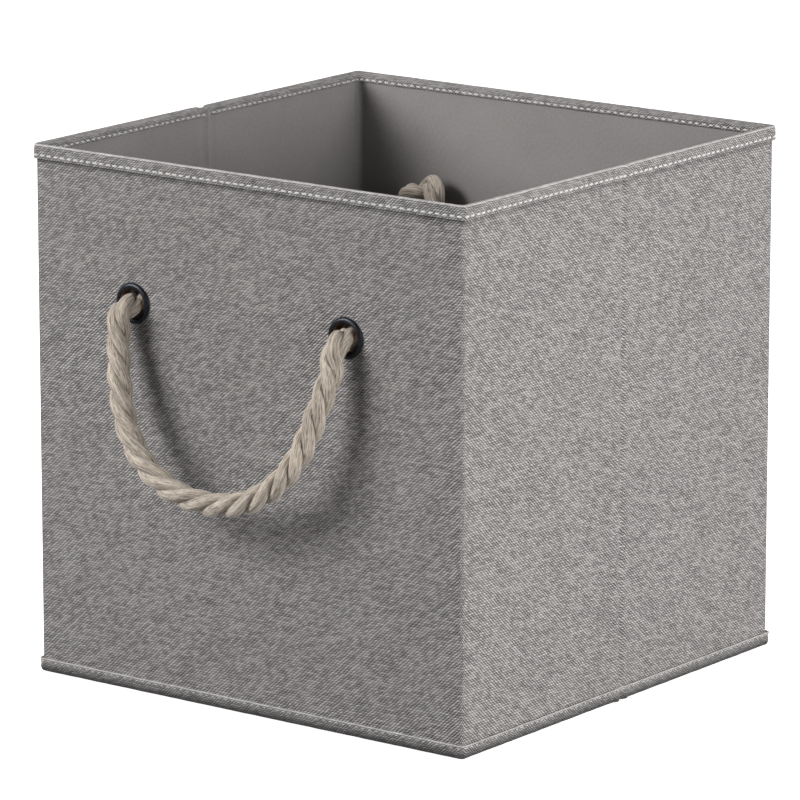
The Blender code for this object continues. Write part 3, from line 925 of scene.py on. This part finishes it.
def stitch_row(wall, low, high, depth, height, pitch, length, radius, inward):
    """Stitches along a wall: a round bead of thread each, its radius r sqrt(1 - s^2)
    along its length, leaning and spaced a little unevenly."""
    count = max(1, int((high - low) / pitch))
    rng = np.random.default_rng(int(1e5 * (depth + height)) + WALLS.index(wall) + count)
    middles = low + (np.arange(count) + 0.5) * (high - low) / count
    patches = []
    angle = np.linspace(0, 2 * np.pi, 7, endpoint=False)
    share = np.linspace(-1, 1, 7)[:, None]
    for middle in middles + rng.normal(0, 0.00012, count):
        size = radius * np.sqrt(np.maximum(1 - share ** 2, 0)) ** 0.7
        long = length * rng.normal(1, 0.05)
        t = middle + share * long / 2 + 0 * angle
        lean = rng.normal(0.00010, 0.00006) * share
        sink = 0.00018 * share ** 2
        deeper, higher = ruck(wall, t, height)
        bead = depth + deeper * (-0.6 if inward else 1) + (-sink if inward else sink) \
            + size * np.cos(angle) * 0.75
        patches.append((on_wall(wall, t, bead, height + higher + lean + size * np.sin(angle)),
                        ring_weave(7, 7, (share[:, 0] + 1) * length / 2 + middle), 0))
    return patches


def add_bindings(layer, outline, folds, material, rows, node):
    """The seven runs of one binding, each with its stitches."""
    for name, stretches, bodies in STRETCHES:
        strip = add_piece(f"{name}_{layer}_strip",
                          [patch for wall, low, high in stretches
                           for patch in carried(wall, low, high, outline, folds)],
                          [material, PAINTED_HIGHLIGHT_FOLD], closed=False)
        thicken(strip, STRIP_THICK)
        stitches = add_piece(f"{name}_{layer}_stitches",
                             [patch for wall, low, high in stretches for row in rows
                              for patch in stitch_row(wall, low, high, **row)],
                             [THREAD])
        for piece in (strip, stitches):
            hang(piece, stretches, bodies)
        if name in COVER_NODES:
            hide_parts(*(f"{panel}_{node}" for panel in COVER_NODES[name]))


# Each binding's fold span, in metres along its outline, is its rolled top edge, painted as a
# highlight.
add_bindings("rim", RIM_OUTLINE, [(0.0093, 0.0101)], BINDING,
             [dict(depth=0.00002, height=HEIGHT - 0.00565, pitch=0.0043, length=0.0032,
                   radius=0.00050, inward=False),
              dict(depth=0.00618, height=HEIGHT - 0.0036, pitch=0.0043, length=0.0030,
                   radius=0.00046, inward=True)], "rim_binding")
add_bindings("base", BASE_OUTLINE, [(0.0111, 0.0126)], SHADED_BASE_BINDING,
             [dict(depth=0.00006, height=0.0058, pitch=0.0042, length=0.0026,
                   radius=0.00024, inward=False)], "base_binding")

# ---- open corner --------------------------------------------------------------
# At the far left corner the left wall and the back wall only meet. Each has a rounded
# fold of cloth behind the seam, which slides over the other's as the bin folds.

WALL_THICK = 0.0068                                  # over the bindings, to the hinge
HINGE_X, HINGE_Y = -(WIDTH / 2 - WALL_THICK), DEPTH / 2 - WALL_THICK


def add_corner_fold(name, body, radii):
    """Quarter turns about the corner's hinge: cloth in the middle, bindings above and
    below it, each closed in towards the hinge at its top and bottom."""
    angle = np.linspace(math.pi / 2, math.pi, 12)
    patches = []
    for (low, high), radius in zip(((0.0002, 0.0066), (SEWN_LOW, SEWN_HIGH),
                                    (HEIGHT - 0.0074, HEIGHT - 0.0020)), radii):
        line = np.array([(0.0018, low), (radius - 0.0004, low), (radius, low + 0.0004),
                         (radius, high - 0.0004), (radius - 0.0004, high), (0.0018, high),
                         (0.0018, low)])
        points = np.stack([HINGE_X + line[:, 0, None] * np.cos(angle),
                           HINGE_Y + line[:, 0, None] * np.sin(angle),
                           np.broadcast_to(line[:, 1, None], (7, 12))], -1)
        u = np.broadcast_to(radius * angle, (7, 12))
        v = np.broadcast_to(line[:, 1, None] + line[:, 0, None], (7, 12))
        patches.append((points, np.stack([u, v], -1), 0 if radius < 0.0055 else 1))
        for edge in (0, -1):
            side = np.stack([points[:3, edge], points[5:2:-1, edge]])
            patches.append((side, np.stack([v[:3, :2].T, v[5:2:-1, :2].T], -1), 0))
    fold = add_piece(name, patches, [TWILL, BINDING])
    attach(fold, body)


add_corner_fold("back_corner_fold", "back_wall", (0.0058, 0.0049, 0.0056))
add_corner_fold("left_corner_fold", "left_rear_panel", (0.0056, 0.0046, 0.0054))

# ---- bottom -------------------------------------------------------------------
# A cloth bottom sewn in all round, with a thin soft pad on it. Both are sewn along the
# diagonals, so that the side quarters tuck away against their walls as the bin folds.

BOTTOM_LOW, BOTTOM_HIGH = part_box("bottom_cloth")
PAD_LOW, PAD_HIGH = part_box("base_pad")
TUCKED_END, TUCKED_SIDE = 0.47, 0.045                # what is left of each when folded
QUARTERS = [
    ("rear", "back_wall", ((1, 1), (-1, 1), (0, 0)), (0, 1, 0), TUCKED_END),
    ("near", "front_wall", ((-1, -1), (1, -1), (0, 0)), (0, -1, 0), TUCKED_END),
    ("right_rear", "right_rear_panel", ((1, 0), (1, 1), (0, 0)), (1, 0, 0), TUCKED_SIDE),
    ("right_near", "right_front_panel", ((1, -1), (1, 0), (0, 0)), (1, 0, 0), TUCKED_SIDE),
    ("left_rear", "left_rear_panel", ((-1, 1), (-1, 0), (0, 0)), (-1, 0, 0), TUCKED_SIDE),
    ("left_near", "left_front_panel", ((-1, 0), (-1, -1), (0, 0)), (-1, 0, 0), TUCKED_SIDE),
]


def quarter_grid(corners, half_x, half_y, count):
    """A triangle as a grid: s runs from its first corner to its second, r from the wall
    in to the middle, where the last row closes to a point."""
    a, b, c = (np.array(corner, float) * (half_x, half_y) for corner in corners)
    r, s = np.meshgrid(np.linspace(0, 1, count), np.linspace(0, 1, count), indexing="ij")
    return a + (b - a) * s[..., None] * (1 - r[..., None]) + (c - a) * r[..., None], r, s


def pad_panel(flat, low, high, r, s):
    """Top and bottom of a filled panel: the top rises as (1 - (1 - d)^2) ^ 0.5 with the
    distance d from its seams, crossed by shallow quilting."""
    from_seam = np.minimum(np.minimum(s * (1 - r), (1 - s) * (1 - r)) * 9, 1)
    edge = np.minimum(from_seam, np.minimum(r * 12, 1))
    puff = np.sqrt(np.maximum(1 - (1 - edge) ** 2, 0))
    quilt = (np.abs(np.sin(flat[..., 0] * 110 + flat[..., 1] * 110))
             * np.abs(np.sin(flat[..., 0] * 110 - flat[..., 1] * 110))) ** 0.35
    top = low + (high - low) * (0.35 + puff * (0.25 + 0.40 * quilt))
    top = np.where(r > 0.999, low + (high - low) * 0.35, top)
    upper = np.concatenate([flat, top[..., None]], -1)
    lower = np.concatenate([flat, np.full_like(top, low)[..., None]], -1)
    return upper, lower


QUILTED = cloth_material("quilted_pad_cover", (0.190, 0.181, 0.177), 0.0016, 0.0010, 0.45, 0.25,
                         0.00020)
for name, body, corners, way, keep in QUARTERS:
    floor_grid, r, s = quarter_grid(corners, BOTTOM_HIGH.x, BOTTOM_HIGH.y, 22)
    place = np.concatenate([floor_grid, np.full_like(r, BOTTOM_HIGH.z)[..., None]], -1)
    cloth = add_piece(f"bottom_cloth_{name}", [(place, floor_grid, 0)], [TWILL], closed=False)
    thicken(cloth, BOTTOM_HIGH.z - BOTTOM_LOW.z)
    pad_grid, r, s = quarter_grid(corners, PAD_HIGH.x, PAD_HIGH.y, 60)
    upper, lower = pad_panel(pad_grid, PAD_LOW.z, PAD_HIGH.z, r, s)
    rim = np.concatenate([upper[0], upper[1:, -1], upper[-2::-1, 0]])
    under = np.concatenate([lower[0], lower[1:, -1], lower[-2::-1, 0]])
    skirt = np.stack([rim, under])
    pad = add_piece(f"base_pad_{name}", [(upper, pad_grid, 0), (lower, pad_grid, 0),
                                         (skirt, skirt[..., :2] + skirt[..., 2:], 0)], [QUILTED])
    for piece in (cloth, pad):
        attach(piece, body)
        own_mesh(piece)
    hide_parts("bottom_cloth")
    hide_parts("base_pad")

# ---- studio -------------------------------------------------------------------
# A white floor that burns out under soft light: a large lamp high on the left in
# front, a wider one low on the right, and a pale room all round.


def add_floor():
    """A wide plain floor, a hair under the bin. It gives back less light to the bin than
    it shows, so that the walls darken towards it."""
    floor = add_piece("studio_floor", [(np.stack(np.broadcast_arrays(
        *np.meshgrid(np.linspace(-9, 9, 2), np.linspace(-9, 9, 2)), -0.0006), -1),
        np.zeros((2, 2, 2)), 0)], [], closed=False)
    material, shader, nodes = new_material("white_floor", Roughness=0.9, Specular_IOR_Level=0.0,
                                           Emission_Color=(1, 1, 1, 1))
    seen = nodes.add("LightPath").outputs["Is Camera Ray"]
    nodes.feed(shader.inputs["Base Color"],
               nodes.shaded(nodes.mix(nodes.noise(nodes.place(), 3.0), (0.90, 0.90, 0.90),
                                      (0.92, 0.92, 0.92)), nodes.ramp(seen, 0, 1, 0.30, 1.0)))
    nodes.feed(shader.inputs["Emission Strength"], nodes.times(seen, 0.80))
    floor.data.materials.append(material)


def add_lamp(name, place, aim, size, power):
    """A square soft lamp turned towards a point."""
    lamp = bpy.data.objects.new(name, bpy.data.lights.new(name, "AREA"))
    lamp.data.shape = "SQUARE"
    lamp.data.size = size
    lamp.data.energy = power
    lamp.location = place
    lamp.rotation_euler = (Vector(place) - Vector(aim)).to_track_quat("Z", "Y").to_euler()
    bpy.context.scene.collection.objects.link(lamp)


add_floor()
add_lamp("key_lamp", (-1.30, -1.85, 1.36), (0, 0, 0.15), 1.35, 94)
add_lamp("right_lamp", (1.75, 0.05, 0.40), (0, 0, 0.20), 0.90, 46)
add_lamp("top_lamp", (0.1, 0.3, 2.6), (0, 0, 0), 1.6, 22)
room = bpy.data.worlds.new("studio_room")
room.use_nodes = True
room.node_tree.nodes["Background"].inputs["Color"].default_value = (1, 1, 1, 1)
room.node_tree.nodes["Background"].inputs["Strength"].default_value = 0.04
bpy.context.scene.world = room
bpy.context.scene.view_settings.view_transform = "Standard"
